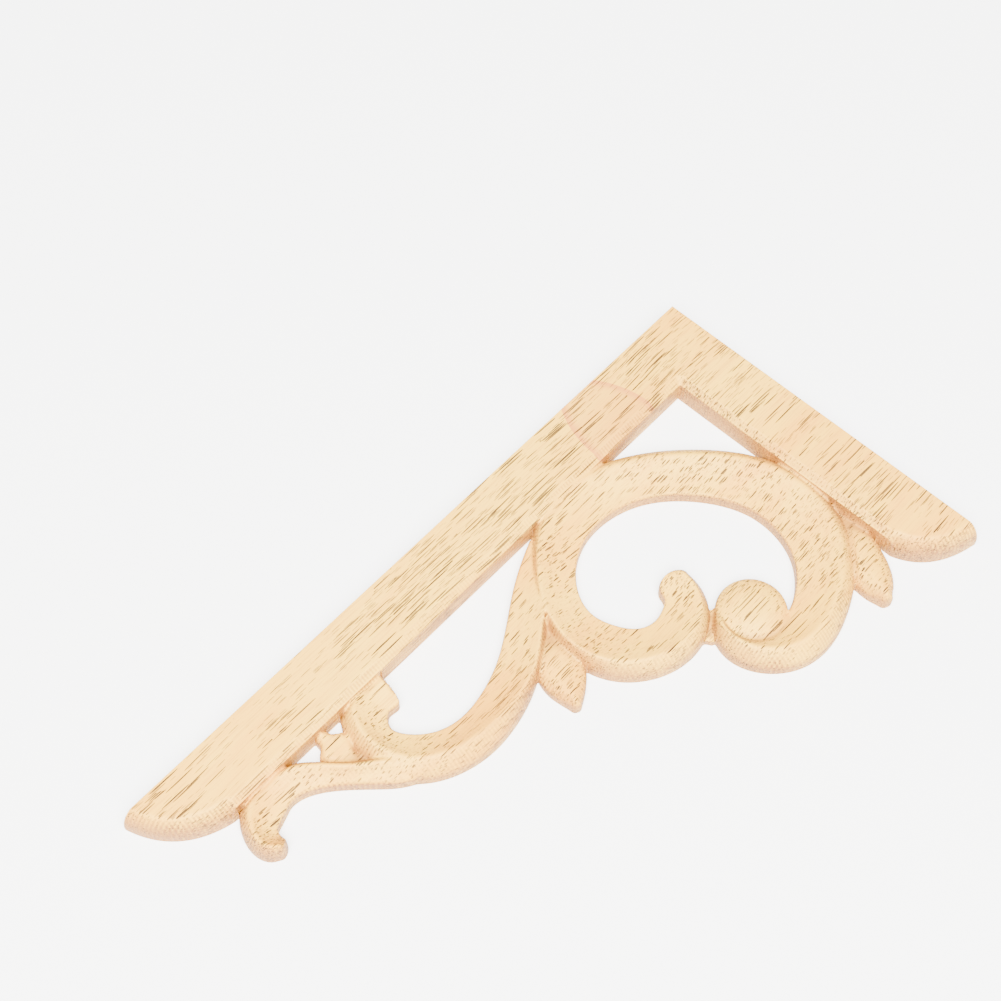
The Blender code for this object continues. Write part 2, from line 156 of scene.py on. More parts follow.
LEAF_BY_S_LIMB = (
    (141.0, 56.0, 8.0, 7.0), (147.0, 67.5, 9.0, 7.6), (149.3, 72.5, 9.2, 7.6),
    (152.5, 79.0, 7.7, 7.0), (155.0, 84.2, 4.4, 5.0), (156.4, 86.9, 2.2, 3.0),
)
LEAF_BY_SHORT_BAR = (
    (29.0, 104.0, 4.0, 4.0), (31.5, 113.0, 8.0, 7.0), (35.5, 123.5, 9.0, 7.0),
    (38.6, 131.0, 8.6, 7.0), (41.0, 136.5, 7.3, 6.4), (43.0, 141.0, 5.0, 5.0),
    (44.2, 143.9, 2.8, 3.4),
)
LEAF_BY_TAIL = (
    (225.4, 46.5, 5.0, 3.0), (227.8, 41.5, 4.6, 3.0), (228.3, 36.0, 7.2, 3.0),
    (228.4, 32.5, 6.8, 3.0), (228.6, 29.6, 3.6, 2.4), (228.7, 27.6, 3.0, 2.0),
)
HOOK_ARM_END = {"cap_length": 5.6, "cap_wall": 4.0}
S_LIMB_END = {"cap_length": 3.4, "cap_wall": 4.6, "cap_power": 3.2}
TAIL_END = {"cap_length": 2.0, "cap_wall": 3.6}
LEAF_BY_S_LIMB_FORM = {"cap_length": 1.4, "crest": 7.2, "root": 4.2}
LEAF_BY_SHORT_BAR_FORM = {"cap_length": 1.8, "crest": 8.2, "root": 4.0}
LEAF_BY_TAIL_FORM = {"cap_length": 2.0, "crest": 6.4, "root": 5.0}
WEB = ((92.2, 98.6, 1.9, 1.0), (97.6, 102.6, 2.3, 1.0), (103.2, 105.8, 2.0, 1.0))
WEB_HEIGHT = 3.2
BUTTON_CENTRE = (83.4, 110.0)
BUTTON_RADIUS = 13.8
BUTTON_BEVEL = 9.0
BUTTON_CREST = 9.2
BUTTON_RIM = 4.4
BUTTON_DOME = 0.6
LEAF_RISE = 0.45

# Bare rubberwood: linear colours, and sizes in metres
CREAM = (0.88, 0.50, 0.042, 1.0)
PALE = (0.92, 0.61, 0.075, 1.0)
PEACH = (0.84, 0.41, 0.035, 1.0)
ROSE = (0.66, 0.25, 0.06, 1.0)
TAN = (0.52, 0.22, 0.035, 1.0)
# BROWN is the tool ridges' brown, and also the painted shade in grooves and on cut walls
BROWN = (0.32, 0.13, 0.024, 1.0)
PORE_BROWN = (0.030, 0.011, 0.004, 1.0)
WANDER_CELL = (0.070, 0.035)
GRAIN_WANDER = 0.004
STREAK_CELL = (0.110, 0.0065)
FIBRE_CELL = (0.020, 0.0006)
PATCH_CELL = (0.060, 0.030)
CROWD_CELL = (0.045, 0.022)
LARGE_PORES = {"length": 0.0180, "width": 0.00068, "height": 0.00120, "size": 0.45}
SMALL_PORES = {"length": 0.0080, "width": 0.00050, "height": 0.00090, "size": 0.39}
END_PORES = {"length": 0.0040, "width": 0.00080, "height": 0.00080, "size": 0.38}
PORE_SHIFT = (0.0031, 0.0117, 0.0053)
PATCH_CIRCLES = (((30.0, 24.0), 45.3), ((84.0, 24.0), 42.2))
RIDGE_PITCH = 0.0014
RIDGE_CELL = (0.022, 0.022)
BUMP_HEIGHT = 0.00012
BUMP_STRENGTH = 0.9

# Fades of the wood's masks: from, to, and the masks there if they aren't 0 and 1
STREAK_FADE = (0.34, 0.66)
PATCH_FADE = (0.35, 0.65, 0.0, 0.55)
FIBRE_FADE = (0.47, 0.66, 0.0, 0.42)
TORN_FADE = (0.38, 0.62, 0.42, 1.0)
# Fade of the painted shade in grooves
GROOVE_SHADE_FADE = (0.08, 1.0, 0.0, 0.75)
ROUGH_FADE = (0.3, 0.7, 0.50, 0.66)
CROWD_FADE = (0.38, 0.60, 0.24, 0.74)
WORN_FADE = (0.45, 0.6, 0.50, 1.0)
RIDGE_FADE = (0.35, 0.65)
GENTLE_FADE = (0.62, 0.88)
# Fade of the end grain and its painted shade
END_GRAIN_SHADE_FADE = (0.4, 0.9)
# Fade of the painted shade on steep cut walls
CUT_WALL_SHADE_FADE = (0.25, 0.7, 1.0, 0.0)
PATCH_EDGE_FADE = (0.0, 0.0004)
PATCH_BORDER_FADE = (0.0004, 0.0045, 1.0, 0.0)

# Strengths of the wood's tints, pores and relief
PATCH_TINT = 0.30
BORDER_TINT = 0.9
# Strength of the end-grain tan, which is partly painted shade on steep walls
END_GRAIN_SHADE_TINT = 0.5
RIDGE_TINT = 0.58
SMALL_PORE_TINT = 0.70
SMALL_PORE_DEPTH = 0.5
PORE_LEAST_SIZE = 0.65
PORE_LEAST_DARK = 0.8
PORE_CORE = 0.94
END_PORE_LEAST = 0.7
PORE_ROUGHNESS = 0.25
FIBRE_RELIEF = 0.25
RIDGE_RELIEF = 0.8
STREAK_DETAIL = 3.0
FIBRE_ROUGHNESS = 0.65

# Camera, light and floor
CAMERA_PLACE = (0.36685, 0.24245, 0.6374)
CAMERA_VIEW = (-0.3669, -0.3392, -0.8662)
CAMERA_LENS = 67.54
SENSOR_WIDTH = 36.0
CLIP_START = 0.01
STUDIO_WHITE = (1.0, 0.92, 0.75)
SURROUND_STRENGTH = 0.85
LAMP_SIZE = 1.6
LAMP_POWER = 300.0
LAMP_PLACE = (0.72, 0.62, 1.70)
LAMP_AIM = (0.1, 0.05, 0.0)
FLOOR_REACH = 4.0
FLOOR_DROP = 0.0002
FLOOR_COLOUR = (0.75, 0.82, 0.99, 1.0)
FLOOR_GLOW = 2.2
FLOOR_ROUGHNESS = 0.9


def spline(stations, step):
    """Return points a step apart on a natural cubic spline through the stations."""
    knots = np.array(stations, dtype=float)
    gaps = np.hypot(*np.diff(knots[:, :2], axis=0).T)
    at = np.concatenate(([0.0], np.cumsum(gaps)))
    count = len(knots)
    matrix = np.eye(count)
    right = np.zeros_like(knots)
    for i in range(1, count - 1):
        matrix[i, i - 1:i + 2] = gaps[i - 1], 2 * (gaps[i - 1] + gaps[i]), gaps[i]
        rise = (knots[i + 1] - knots[i]) / gaps[i] - (knots[i] - knots[i - 1]) / gaps[i - 1]
        right[i] = 6 * rise
    bend = np.linalg.solve(matrix, right)
    places = np.linspace(0.0, at[-1], max(3, round(at[-1] / step) + 1))
    rows = []
    for place in places:
        i = min(int(np.searchsorted(at, place, side="right")) - 1, count - 2)
        a = (at[i + 1] - place) / gaps[i]
        b = 1.0 - a
        curve = ((a ** 3 - a) * bend[i] + (b ** 3 - b) * bend[i + 1]) * gaps[i] ** 2 / 6
        rows.append(a * knots[i] + b * knots[i + 1] + curve)
    return np.array(rows)


def rounding(depth, width, low, high, fullness=BEVEL_FULLNESS):
    """Return the height of a rounded bevel, from low at the edge to high a width inside it."""
    share = np.clip(depth / width, 0.0, 1.0)
    arc = np.sqrt(1.0 - (1.0 - share) ** 2)
    return low + (high - low) * (fullness * arc + (1.0 - fullness) * share)


def smooth_max(a, b, reach):
    """Return the higher of two heights, with a fillet where they cross."""
    share = np.clip(0.5 + 0.5 * (a - b) / reach, 0.0, 1.0)
    return b + (a - b) * share + reach * share * (1.0 - share)


class Limb:
    """A carved band: a centre line with widths, a crest on one side and a rounded far end."""

    def __init__(self, stations, crest_side, cap_length=0.0, stretch=(0.0, 1.0),
                 crest=CREST_HEIGHT, dish=DISH_EDGE, wall=OUTER_WALL, cap_wall=OUTER_WALL,
                 cap_power=2.0, under=(), fillet=FILLET, parting=0.0):
        whole = spline(stations, CENTRE_STEP)
        first, last = (round(share * (len(whole) - 1)) for share in stretch)
        self.centre = whole[first:last + 1]
        along = np.gradient(whole[:, :2], axis=0)[first:last + 1]
        self.along = along / np.hypot(*along.T)[:, None]
        self.left = np.stack((-self.along[:, 1], self.along[:, 0]), axis=1)
        self.crest_side = crest_side
        self.cap_length = cap_length
        self.cap_power = cap_power
        self.crest = crest
        self.dish = dish
        self.wall = wall
        self.cap_wall = cap_wall
        self.under = under
        self.fillet = fillet
        self.parting = parting

    def row(self, share):
        """Return the points at a share of the half width to the left of the centre line."""
        return self.centre[:, :2] + self.left * (share * self.centre[:, 2])[:, None]

    def cap(self):
        """Return the points of the rounded far end, from its right edge round to its left edge."""
        if not self.cap_length:
            return np.empty((0, 2))
        x, y, half = self.centre[-1, :3]
        steps = max(FEWEST_CAP_STEPS, round(math.pi * max(half, self.cap_length) / OUTLINE_STEP))
        points = []
        for i in range(1, steps):
            turn = math.pi * i / steps
            side = math.cos(turn)
            across = -math.copysign(abs(side) ** (2.0 / self.cap_power), side) * half
            ahead = math.sin(turn) ** (2.0 / self.cap_power) * self.cap_length
            points.append(np.array((x, y)) + self.left[-1] * across + self.along[-1] * ahead)
        return np.array(points)

    def outline(self):
        """Return the closed outline, counterclockwise."""
        return np.concatenate((self.row(-1.0), self.cap(), self.row(1.0)[::-1]))

    def place(self, points):
        """Return each point's depth inside the edges on the crest side, inner side and cap."""
        starts = self.centre[:-1]
        steps = self.centre[1:] - starts
        squares = (steps[:, :2] ** 2).sum(axis=1)
        offset = points[:, None, :] - starts[None, :, :2]
        foot = (offset * steps[None, :, :2]).sum(axis=2) / squares
        share = np.clip(foot, 0.0, 1.0)
        gap = offset - share[:, :, None] * steps[None, :, :2]
        distance = np.sqrt((gap ** 2).sum(axis=2))
        squint = np.abs(foot - share) * np.sqrt(squares)
        beside = squint <= FOOT_TOLERANCE * distance + FOOT_SLACK
        beside[:, 0] |= foot[:, 0] < 0.0
        beside[:, -1] |= foot[:, -1] > 1.0
        depth = starts[None, :, 2] + share * steps[None, :, 2] - distance
        nearest = np.argmax(np.where(beside, depth, -FAR - distance), axis=1)
        pick = np.arange(len(points))
        share = share[pick, nearest]
        gap = gap[pick, nearest]
        row = starts[nearest] + share[:, None] * steps[nearest]
        along = steps[nearest, :2] / np.sqrt(squares[nearest])[:, None]
        ahead = (gap * along).sum(axis=1)
        across = (along[:, 0] * gap[:, 1] - along[:, 1] * gap[:, 0]) * self.crest_side
        half = row[:, 2]
        past_end = (nearest == len(starts) - 1) & (share >= 1.0)
        before_start = (nearest == 0) & (share <= 0.0)
        ahead = np.where(past_end, np.maximum(ahead, 0.0), 0.0)
        power = self.cap_power
        reach = max(self.cap_length, SMALLEST_CAP)
        radius = (np.abs(across / half) ** power + (ahead / reach) ** power) ** (1.0 / power)
        beyond = np.hypot(*gap.T) > np.abs(across) + INSIDE
        cap_depth = np.where(past_end, (1.0 - radius) * half, np.inf)
        if not self.cap_length:
            cap_depth = np.where(past_end & beyond, -1.0, np.inf)
        start_depth = np.where(before_start & beyond, -1.0, np.inf)
        return half - across, half + across, np.minimum(cap_depth, start_depth), row

    def relief(self, points):
        """Return how far inside the outline each point lies, and the carved height there."""
        crest_depth, inner_depth, cap_depth, row = self.place(points)
        depth = np.minimum(np.minimum(crest_depth, inner_depth), cap_depth)
        width = 2.0 * row[:, 2]
        bevel = row[:, 3]
        outer = rounding(crest_depth, bevel, self.wall, self.crest)
        fall = np.clip((width - crest_depth) / (width - bevel), 0.0, DISH_REACH) ** DISH_POWER
        dished = self.dish + (self.crest - self.dish) * fall
        soft = rounding(inner_depth, INNER_SOFTENING, self.dish - INNER_SOFTENING,
                        self.dish + INNER_RISE)
        soft = np.where(inner_depth > INNER_SOFTENING, np.inf, soft)
        capped = np.where(np.isfinite(cap_depth), cap_depth, bevel)
        capped = rounding(capped, bevel, self.cap_wall, self.crest)
        capped = np.where(np.isfinite(cap_depth), capped, np.inf)
        return depth, np.minimum(np.minimum(outer, dished), np.minimum(soft, capped))


class Leaf(Limb):
    """A pointed leaf: its surface is domed across and rises from its root to its middle."""

    def __init__(self, stations, cap_length, crest, root, under):
        super().__init__(stations, 1.0, cap_length, crest=crest, under=under)
        self.root = root

    def relief(self, points):
        """Return how far inside the outline each point lies, and the domed height there."""
        crest_depth, inner_depth, cap_depth, row = self.place(points)
        depth = np.minimum(np.minimum(crest_depth, inner_depth), cap_depth)
        first = self.centre[0, :2]
        length = np.hypot(*(self.centre[-1, :2] - first))
        rise = np.clip(np.hypot(*(points - first).T) / (LEAF_RISE * length), 0.0, 1.0)
        top = self.root + (self.crest - self.root) * rise
        return depth, rounding(depth, row[:, 3], self.wall, top, LEAF_FULLNESS)


class Button:
    """The round end of the ring scroll: a low disc with a rounded rim."""

    under = ()
    fillet = FILLET
    parting = 0.0

    def outline(self):
        """Return the circle's points, counterclockwise."""
        count = round(2 * math.pi * BUTTON_RADIUS / OUTLINE_STEP)
        turns = np.linspace(0.0, 2 * math.pi, count, endpoint=False)
        circle = np.stack((np.cos(turns), np.sin(turns)), axis=1)
        return np.array(BUTTON_CENTRE) + BUTTON_RADIUS * circle

    def relief(self, points):
        """Return how far inside the outline each point lies, and the domed height there."""
        depth = BUTTON_RADIUS - np.hypot(*(points - np.array(BUTTON_CENTRE)).T)
        dome = BUTTON_CREST - BUTTON_DOME * np.clip(1.0 - depth / BUTTON_RADIUS, 0.0, 1.0) ** 2
        side = rounding(depth, BUTTON_BEVEL, BUTTON_RIM, BUTTON_CREST, BUTTON_FULLNESS)
        return depth, np.minimum(side, dome)


class Bar:
    """A straight square bar with a shoulder on its inner edge and a curved, rounded end."""

    under = ()
    fillet = SAME_SURFACE
    parting = 0.0

    def __init__(self, length, end_length, upright):
        self.length = length
        self.end_length = end_length
        self.upright = upright

    def turned(self, points):
        """Swap x and y for the bar that runs along +Y."""
        return points[:, ::-1] if self.upright else points

    def end_curve(self, steps):
        """Return the end's curve, from the inner edge to the outer tip."""
        start = np.array((self.length - self.end_length, BAR_WIDTH))
        pull = np.array((self.length - END_PULL_BACK * self.end_length, BAR_WIDTH * END_PULL_IN))
        tip = np.array((self.length, 0.0))
        curve = []
        for i in range(steps + 1):
            t = i / steps
            curve.append((1 - t) ** 2 * start + 2 * t * (1 - t) * pull + t * t * tip)
        return np.array(curve)

    def outline(self):
        """Return the closed outline, counterclockwise."""
        edge = np.arange(0.0, self.length - self.end_length - OUTLINE_STEP / 2, OUTLINE_STEP)
        inner = np.stack((edge, np.full_like(edge, BAR_WIDTH)), axis=1)
        points = np.concatenate((inner, self.end_curve(END_STEPS), np.zeros((1, 2))))
        return self.turned(points) if self.upright else points[::-1]

    def relief(self, points):
        """Return how far inside the outline each point lies, and the bar's height there."""
        local = self.turned(points)
        curve = self.end_curve(END_STEPS)
        starts = curve[:-1]
        steps = curve[1:] - starts
        offset = local[:, None, :] - starts[None]
        share = np.clip((offset * steps).sum(axis=2) / (steps ** 2).sum(axis=1), 0.0, 1.0)
        gap = offset - share[:, :, None] * steps
        distance = np.sqrt((gap ** 2).sum(axis=2))
        nearest = np.argmin(distance, axis=1)
        pick = np.arange(len(local))
        step, away = steps[nearest], offset[pick, nearest]
        cross = step[:, 0] * away[:, 1] - step[:, 1] * away[:, 0]
        to_end = -np.sign(cross) * distance[pick, nearest]
        to_inner = BAR_WIDTH - local[:, 1]
        to_outer = np.minimum(local[:, 1], local[:, 0])
        slope = (THICKNESS - WALL_TOP) / SHOULDER_WIDTH
        shoulder = WALL_TOP + slope * np.clip(to_inner - WALL_DRAFT, 0.0, SHOULDER_WIDTH)
        end = rounding(to_end, END_ROUNDING, END_FOOT, THICKNESS, END_FULLNESS)
        return np.minimum(np.minimum(to_inner, to_outer), to_end), np.minimum(shoulder, end)

    def rows(self):
        """Return the lines of the wall's foot and top and of the shoulder's foot and top."""
        lines = []
        for depth in (WALL_DRAFT, WALL_DRAFT + SHOULDER_WIDTH):
            edge = np.arange(BAR_WIDTH - depth, self.length, OUTLINE_STEP)
            row = np.stack((edge, np.full_like(edge, BAR_WIDTH - depth)), axis=1)
            lines.append(self.turned(row))
        edge = np.arange(BAR_WIDTH, self.length - self.end_length, OUTLINE_STEP / 2)
        inner = np.stack((edge, np.full_like(edge, BAR_WIDTH)), axis=1)
        curve = np.concatenate((inner, self.end_curve(END_ROW_STEPS)[:-END_ROW_STOP]))
        along = np.gradient(curve, axis=0)
        along /= np.hypot(*along.T)[:, None]
        inward = np.stack((along[:, 1], -along[:, 0]), axis=1)
        for depth in (-WALL_FOOT, INSIDE + WALL_FOOT):
            lines.append(self.turned(curve + depth * inward))
        return lines


def make_forms():
    """Return the two bars and then every carved form of the board."""
    button = Button()
    ring = Limb(RING, -1.0, stretch=(0.0, RING_SHARE), under=((button, 0.0),))
    hook_arm = Limb(RING, -1.0, stretch=(RING_SHARE, 1.0), fillet=SAME_SURFACE, **HOOK_ARM_END)
    s_limb = Limb(S_LIMB, 1.0, under=((ring, 0.0), (hook_arm, 0.0)), parting=PARTING_DEPTH,
                  **S_LIMB_END)
    tail = Limb(TAIL, -1.0, under=((s_limb, TAIL_BURIAL),), fillet=TAIL_FILLET,
                parting=PARTING_DEPTH, **TAIL_END)
    web = Limb(WEB, 1.0, crest=WEB_HEIGHT, dish=WEB_HEIGHT, wall=WEB_HEIGHT)
    return [
        Bar(LONG_BAR, LONG_END_LENGTH, False), Bar(SHORT_BAR, SHORT_END_LENGTH, True),
        ring, hook_arm, s_limb, tail,
        Leaf(LEAF_BY_S_LIMB, under=((ring, 0.0), (hook_arm, 0.0), (s_limb, 0.0)),
             **LEAF_BY_S_LIMB_FORM),
        Leaf(LEAF_BY_SHORT_BAR, under=((ring, 0.0),), **LEAF_BY_SHORT_BAR_FORM),
        Leaf(LEAF_BY_TAIL, under=((s_limb, 0.0), (tail, 0.0)), **LEAF_BY_TAIL_FORM),
        web, button,
    ]


def reliefs(forms, points):
    """Return the depth and height of every form over the points, one row for each form."""
    depths = np.full((len(forms), len(points)), -FAR)
    heights = np.zeros((len(forms), len(points)))
    for row, form in enumerate(forms):
        edge = form.outline()
        low, high = edge.min(axis=0) - BOX_MARGIN, edge.max(axis=0) + BOX_MARGIN
        near = ((points > low) & (points < high)).all(axis=1)
        where = np.nonzero(near)[0]
        for start in range(0, len(where), CHUNK):
            part = where[start:start + CHUNK]
            depths[row, part], heights[row, part] = form.relief(points[part])
    return depths, heights


def surface(forms, points):
    """Return the height of the carved face over each point and how far inside the board it is."""
    depths, heights = reliefs(forms, points)
    beside = np.clip(1.0 + depths[0] / PARTING_WIDTH, 0.0, 1.0)
    for row, form in enumerate(forms):
        heights[row] -= form.parting * beside
        for above, start in form.under:
            cover = np.maximum(depths[forms.index(above)] - start, 0.0)
            heights[row] -= DIVE_SLOPE * cover
    best = depths.max(axis=0)
    ranks = depths.copy()
    ranks[:2] -= np.where(depths[:2] < -WALL_EDGE, NOTCH_FILL, 0.0)
    limit = np.where(best > INSIDE, INSIDE, ranks.max(axis=0) - SAME_SURFACE)
    height = np.full(len(points), -FAR)
    for row, form in enumerate(forms):
        present = ranks[row] > limit
        fresh = present & (height <= -FAR)
        both = present & ~fresh
        height = np.where(fresh, heights[row], height)
        height = np.where(both, smooth_max(heights[row], height, form.fillet), height)
    arris = np.clip(best / ARRIS, 0.0, 1.0)
    return height - ARRIS * (1.0 - np.sqrt(1.0 - (1.0 - arris) ** 2)), best, depths


def closed_loops(faces):
    """Return the loops of vertex numbers round the edges that only one face uses."""
    directed = {(face[i - 1], face[i]) for face in faces for i in range(len(face))}
    onward = {a: b for a, b in directed if (b, a) not in directed}
    loops = []
    while onward:
        start, here = next(iter(onward.items()))
        loop = [start]
        del onward[start]
        while here != start:
            loop.append(here)
            here = onward.pop(here)
        loops.append(loop)
    return loops


def filled(points, loops):
    """Return triangles over the loops' numbers that fill the outline round its openings."""
    numbers = [number for loop in loops for number in loop]
    faces = []
    for loop in loops:
        first = sum(len(face) for face in faces)
        face = list(range(first, first + len(loop)))
        faces.append(face if signed_area(points[loop]) > 0.0 else face[::-1])
    outer = max(range(len(loops)), key=lambda i: abs(signed_area(points[loops[i]])))
    flat = [Vector(points[number]) for number in numbers]
    _, _, triangles, sources, _, origin = delaunay_2d_cdt(flat, [], faces, 0, 0.0)
    kept = [face for face, source in zip(triangles, origin) if list(source) == [outer]]
    return [[numbers[sources[i][0]] for i in face] for face in kept]


def signed_area(loop):
    """Return the area inside a loop, positive where the loop runs counterclockwise."""
    x, y = loop[:, 0], loop[:, 1]
    return 0.5 * float((x * np.roll(y, -1) - y * np.roll(x, -1)).sum())


def even_loop(loop):
    """Return the loop with its short edges merged and its long edges split to the outline step."""
    points = []
    for i in range(len(loop)):
        a, b = loop[i], loop[(i + 1) % len(loop)]
        length = math.hypot(*(b - a))
        if length < SHORT_EDGE * OUTLINE_STEP:
            continue
        count = max(1, round(length / OUTLINE_STEP))
        points += [a + (b - a) * k / count for k in range(count)]
    return np.array(points)


def soften_notches(loop):
    """Round the sharp inward corners of an outline, as a round cutter leaves them."""
    before, after = np.roll(loop, 1, axis=0), np.roll(loop, -1, axis=0)
    a, b = loop - before, after - loop
    turn = np.arctan2(a[:, 0] * b[:, 1] - a[:, 1] * b[:, 0], (a * b).sum(axis=1))
    square_corner = np.hypot(*(loop - BAR_WIDTH).T) < CORNER_REACH
    sharp = ((turn < NOTCH_TURN) & ~square_corner).astype(float)
    weight = sharp.copy()
    for shift in range(1, NOTCH_POINTS + 1):
        beside = np.maximum(np.roll(sharp, shift), np.roll(sharp, -shift))
        weight = np.maximum(weight, (1.0 - shift / (NOTCH_POINTS + 1)) * beside)
    for _ in range(NOTCH_PASSES):
        middle = 0.5 * (np.roll(loop, 1, axis=0) + np.roll(loop, -1, axis=0))
        loop = loop + 0.5 * weight[:, None] * (middle - loop)
    return loop


def board_outlines(forms):
    """Return the board's outer outline and the outlines of its openings."""
    verts, faces = [], []
    for form in forms:
        first = len(verts)
        verts += [Vector(point) for point in form.outline()]
        faces.append(list(range(first, len(verts))))
    out, _, triangles, _, _, origin = delaunay_2d_cdt(verts, [], faces, 0, OUTLINE_MERGE)
    kept = [face for face, source in zip(triangles, origin) if source]
    points = np.array([tuple(v) for v in out])
    loops = [points[loop] for loop in closed_loops(kept)]
    loops = [even_loop(loop) for loop in loops if abs(signed_area(loop)) > SMALLEST_OPENING]
    loops = [soften_notches(loop) for loop in loops]
    return sorted(loops, key=lambda loop: -abs(signed_area(loop)))


def inset(loop, depth):
    """Return a loop's points moved into the board by a depth."""
    along = np.roll(loop, -1, axis=0) - np.roll(loop, 1, axis=0)
    along /= np.hypot(*along.T)[:, None]
    return loop + depth * np.stack((-along[:, 1], along[:, 0]), axis=1)


def lattice(low, high, step):
    """Return the points of a triangular lattice over a box."""
    rows = []
    for j, y in enumerate(np.arange(low[1], high[1], step * math.sqrt(3.0) / 2)):
        x = np.arange(low[0] + (j % 2) * step / 2, high[0], step)
        rows.append(np.stack((x, np.full_like(x, y)), axis=1))
    return np.concatenate(rows)


class Plan:
    """The points and edges that the board's carved face is triangulated from."""

    def __init__(self, forms):
        self.forms = forms
        self.points = []
        self.edges = []
        self.faces = []
        self.loops = []
        for loop in board_outlines(forms):
            first = len(self.points)
            self.points += list(loop)
            face = list(range(first, len(self.points)))
            self.faces.append(face if signed_area(loop) > 0.0 else face[::-1])
            self.loops.append(loop)

    def tree(self):
        """Return a search tree over the plan's points."""
        tree = kdtree.KDTree(len(self.points))
        for i, point in enumerate(self.points):
            tree.insert((point[0], point[1], 0.0), i)
        tree.balance()
        return tree

    def add_line(self, line, keep, gap, closed=False):
        """Add a line's points and edges where they are kept and not crowded."""
        tree = self.tree()
        before = None
        first = None
        for point, wanted in zip(line, keep):
            here = None
            if wanted and tree.find((point[0], point[1], 0.0))[2] > gap:
                self.points.append(point)
                here = len(self.points) - 1
                if before is not None:
                    self.edges.append((before, here))
            before = here
            first = here if first is None and here is not None else first
        if closed and before is not None and first == len(self.points) - len(line):
            self.edges.append((before, first))

    def add_scatter(self, points, gap):
        """Add the points that lie further than a gap from those already there."""
        tree = self.tree()
        for point in points:
            if tree.find((point[0], point[1], 0.0))[2] > gap:
                self.points.append(point)

    def triangles(self):
        """Return the plan's vertices and triangles."""
        flat = [Vector(point) for point in self.points]
        out, _, triangles, _, _, origin = delaunay_2d_cdt(
            flat, self.edges, self.faces, 0, PLAN_MERGE)
        kept = [face for face, source in zip(triangles, origin) if list(source) == [0]]
        return np.array([tuple(v) for v in out]), kept


def well_inside(forms, points):
    """Return the points that lie well inside the board's edges."""
    return points[surface(forms, points)[1] > SCATTER_INSIDE]


def carved_plan(forms):
    """Return the fine plan of the carved face."""
    plan = Plan(forms)
    bars, scroll = forms[:2], forms[2:]
    for loop in plan.loops:
        for depth in EDGE_ROWS:
            line = inset(loop, depth)
            inside = surface(forms, line)[1]
            keep = np.abs(inside - depth) < ROW_SLACK[0] * depth + ROW_SLACK[1]
            plan.add_line(line, keep, ROW_GAP * min(depth, WIDEST_ROW_GAP), closed=True)
    for bar in bars:
        for line in bar.rows():
            _, best, depths = surface(forms, line)
            joined = depths[2:].max(axis=0) > JOIN_DEPTH
            on_shoulder = best > LINE_DEPTH
            by_notch = (depths[2:].max(axis=0) > -NOTCH_REACH) & (best > INSIDE)
            plan.add_line(line, on_shoulder | joined | by_notch, LINE_GAP)
    points = lattice(*CARVED_BOX, LATTICE_STEP)
    points = points[reliefs(scroll, points)[0].max(axis=0) > 0.0]
    plan.add_scatter(well_inside(forms, points), SCATTER_GAP * LATTICE_STEP)
    for bar in bars:
        low = (BAR_WIDTH, BAR_WIDTH - WALL_DRAFT - SHOULDER_WIDTH - SHOULDER_REACH)
        points = bar.turned(lattice(low, (bar.length - bar.end_length, BAR_WIDTH), LATTICE_STEP))
        plan.add_scatter(well_inside(forms, points), SCATTER_GAP * LATTICE_STEP)
    for bar in bars:
        low = (bar.length - bar.end_length - END_BOX_MARGIN, 0.0)
        points = bar.turned(lattice(low, (bar.length, BAR_WIDTH), END_LATTICE_STEP))
        plan.add_scatter(well_inside(forms, points), SCATTER_GAP * END_LATTICE_STEP)
    return plan.triangles()


def board_mesh(name):
    """Return the fine mesh of the board, with the values that the sanding tree reads."""
    forms = make_forms()
    points, triangles = carved_plan(forms)
    heights, best, depths = surface(forms, points)
    mesh = bmesh.new()
    softness = mesh.verts.layers.float.new("softness")
    spread = mesh.verts.layers.float.new("spread")
    used = sorted({index for face in triangles for index in face})
    places = np.column_stack((points - ORIGIN, heights)) * MM
    top = {i: mesh.verts.new(places[i]) for i in used}
    for face in triangles:
        mesh.faces.new([top[i] for i in face])
    loops = closed_loops(triangles)
    base = {i: mesh.verts.new((*places[i][:2], 0.0)) for loop in loops for i in loop}
    inner = np.clip((best - SANDED_EDGE) / SANDED_RAMP, 0.0, 1.0) * (depths[:2].max(axis=0) < 0.0)
    for i, vert in top.items():
        vert[softness] = inner[i]
        vert[spread] = 0.0 if i in base else 1.0
    for loop in loops:
        for a, b in zip(loop, loop[1:] + loop[:1]):
            mesh.faces.new((top[b], top[a], base[a], base[b]))
    for face in filled(points, loops):
        mesh.faces.new([base[i] for i in reversed(face)])
    bmesh.ops.recalc_face_normals(mesh, faces=mesh.faces)
    data = bpy.data.meshes.new(name)
    mesh.to_mesh(data)
    mesh.free()
    return data


def node(tree, kind, inputs=None, **settings):
    """Add a node, give it its settings and fill or link its inputs."""
    made = tree.nodes.new(kind)
    for name, value in settings.items():
        setattr(made, name, value)
    for name, value in (inputs or {}).items():
        if isinstance(value, bpy.types.NodeSocket):
            tree.links.new(value, made.inputs[name])
        else:
            made.inputs[name].default_value = value
    return made


def reckon(tree, operation, *values, clamp=False):
    """Add a Math node over sockets and numbers and return its result."""
    inputs = {i: value for i, value in enumerate(values)}
    return node(tree, "ShaderNodeMath", inputs, operation=operation, use_clamp=clamp).outputs[0]


def named_value(tree, name):
    """Add a node that reads one of the mesh's own values."""
    kind = "GeometryNodeInputNamedAttribute"
    return node(tree, kind, {"Name": name}, data_type="FLOAT").outputs["Attribute"]


def smoothed(tree, value, passes, weight):
    """Return a mesh value blurred along the mesh."""
    inputs = {"Value": value, "Iterations": passes, "Weight": weight}
    return node(tree, "GeometryNodeBlurAttribute", inputs).outputs[0]


